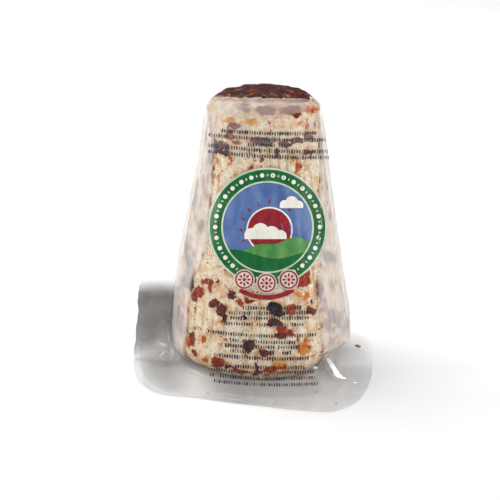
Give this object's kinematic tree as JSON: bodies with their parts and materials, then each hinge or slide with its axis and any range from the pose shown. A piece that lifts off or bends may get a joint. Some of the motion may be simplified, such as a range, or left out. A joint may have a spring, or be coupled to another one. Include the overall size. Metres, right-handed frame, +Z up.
{
  "type": "whole ricotta in a clear vacuum bag",
  "caption": "Tall blunt cone of ricotta, ribbed sides and dark baked top, in clinging clear film that ends in a loose flap round its foot.",
  "frame": {"origin": "middle of the flat foot that the cheese stands on", "axes": "+Z up along the cheese, -Y towards the printed front, +X to the right seen from the front"},
  "size_m": [0.1743, 0.1849, 0.1964],
  "materials": {
    "cheese": "soft cream cheese with baked and peppered spots",
    "top_crust": "dark oily baked crust",
    "clear_film": "clear glossy packing film, slightly milky where it stands off",
    "print": "flat printing ink under film"
  },
  "bodies": {
    "root": {"ricotta_in_bag": "cheese"}
  },
  "joints": []
}
